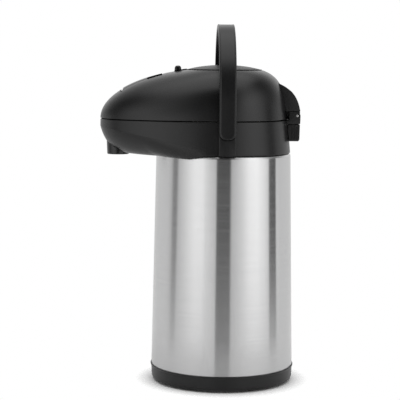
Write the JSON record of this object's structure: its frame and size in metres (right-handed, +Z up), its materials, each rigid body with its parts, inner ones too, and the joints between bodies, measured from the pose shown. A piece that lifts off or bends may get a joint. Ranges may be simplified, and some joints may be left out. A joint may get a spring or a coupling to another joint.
{
  "type": "push-button thermal airpot",
  "caption": "Tapered steel vacuum jug on a swivel base, under a hinged pump lid with a spout, lock slider, lid latch and bail handle.",
  "frame": {"origin": "centre of the resting face, on the axis of the steel body", "axes": "+Z up, the spout and nose point to -Y, the lid hinge is at +Y, the carry handle turns about an axis along X"},
  "size_m": [0.172, 0.2281, 0.4097],
  "materials": {
    "brushed_steel": "brushed round the body",
    "bright_steel": "smooth",
    "black_plastic": "fine satin texture",
    "gloss_plastic": "gloss",
    "grey_plastic": "matt",
    "rubber": "matt",
    "silicone": "translucent matt"
  },
  "bodies": {
    "pot": {"outer_shell": "brushed_steel", "inner_vessel": "bright_steel", "jacket_bottom": "bright_steel", "base_cup": "black_plastic", "turntable_washer": "bright_steel", "turntable_bolt": "bright_steel", "turntable_nut": "bright_steel", "bolt_cover": "rubber", "shoulder": "black_plastic", "nose_cover": "black_plastic", "mouth_gasket": "silicone", "siphon_ring": "grey_plastic", "siphon_tube": "bright_steel", "delivery_pipe": "grey_plastic", "spout_elbow": "grey_plastic", "spout_nozzle": "gloss_plastic", "hinge_bracket": "black_plastic", "hinge_pin": "bright_steel"},
    "swivel_base": {"turntable": "black_plastic", "non_slip_ring": "rubber"},
    "valve_ball": {"spill_valve_ball": "bright_steel"},
    "hinge_release": {"hinge_release_slide": "black_plastic"},
    "lid": {"lid_cover": "black_plastic", "lid_base": "grey_plastic", "lid_screw_1": "bright_steel", "lid_screw_2": "bright_steel", "lid_screw_3": "bright_steel", "lid_screw_4": "bright_steel", "plug_gasket": "silicone", "air_valve_flap": "silicone", "lid_hinge_arm": "black_plastic", "latch_housing": "black_plastic", "latch_pin": "bright_steel", "bellows": "silicone", "return_spring": "bright_steel"},
    "button": {"pump_button": "black_plastic"},
    "lock": {"lock_slider": "gloss_plastic"},
    "latch": {"latch_lever": "black_plastic"},
    "handle_bushes": {"handle_bush_left": "grey_plastic", "handle_bush_right": "grey_plastic"},
    "handle": {"carry_handle": "black_plastic", "handle_clip_left": "bright_steel", "handle_clip_right": "bright_steel"}
  },
  "joints": [
    {"name": "base_swivel", "type": "hinge", "parent": "pot", "child": "swivel_base", "pos_m": [0, 0, 0.005], "axis": [0, 0, 1], "continuous": true},
    {"name": "valve_ball_lift", "type": "slide", "parent": "pot", "child": "valve_ball", "axis": [0, 0, 1], "range_m": [0, 0.002]},
    {"name": "hinge_release_slide", "type": "slide", "parent": "pot", "child": "hinge_release", "axis": [0, 0, -1], "range_m": [0, 0.004]},
    {"name": "lid_open", "type": "hinge", "parent": "pot", "child": "lid", "pos_m": [0, 0.083, 0.3065], "axis": [-1, 0, 0], "range_deg": [0, 75]},
    {"name": "button_press", "type": "slide", "parent": "lid", "child": "button", "axis": [0, 0, -1], "range_m": [0, 0.022], "deforming": ["bellows", "return_spring"]},
    {"name": "lock_slide", "type": "slide", "parent": "lid", "child": "lock", "axis": [0, -1, 0], "range_m": [-0.0059, 0]},
    {"name": "latch_lift", "type": "hinge", "parent": "lid", "child": "latch", "pos_m": [0, -0.1116, 0.331], "axis": [1, 0, 0], "range_deg": [0, 25]},
    {"name": "handle_clear", "type": "hinge", "parent": "handle_bushes", "child": "handle", "pos_m": [0, 0.0026, 0.2918], "axis": [-1, 0, 0], "range_deg": [0, 128]},
    {"name": "handle_swing", "type": "hinge", "parent": "pot", "child": "handle_bushes", "pos_m": [0, 0.0026, 0.2918], "axis": [1, 0, 0], "range_deg": [-100, 0]}
  ],
  "couplings": [
    {"joint": "handle_clear", "follows": "lid_open", "ratio": 1.7}
  ]
}
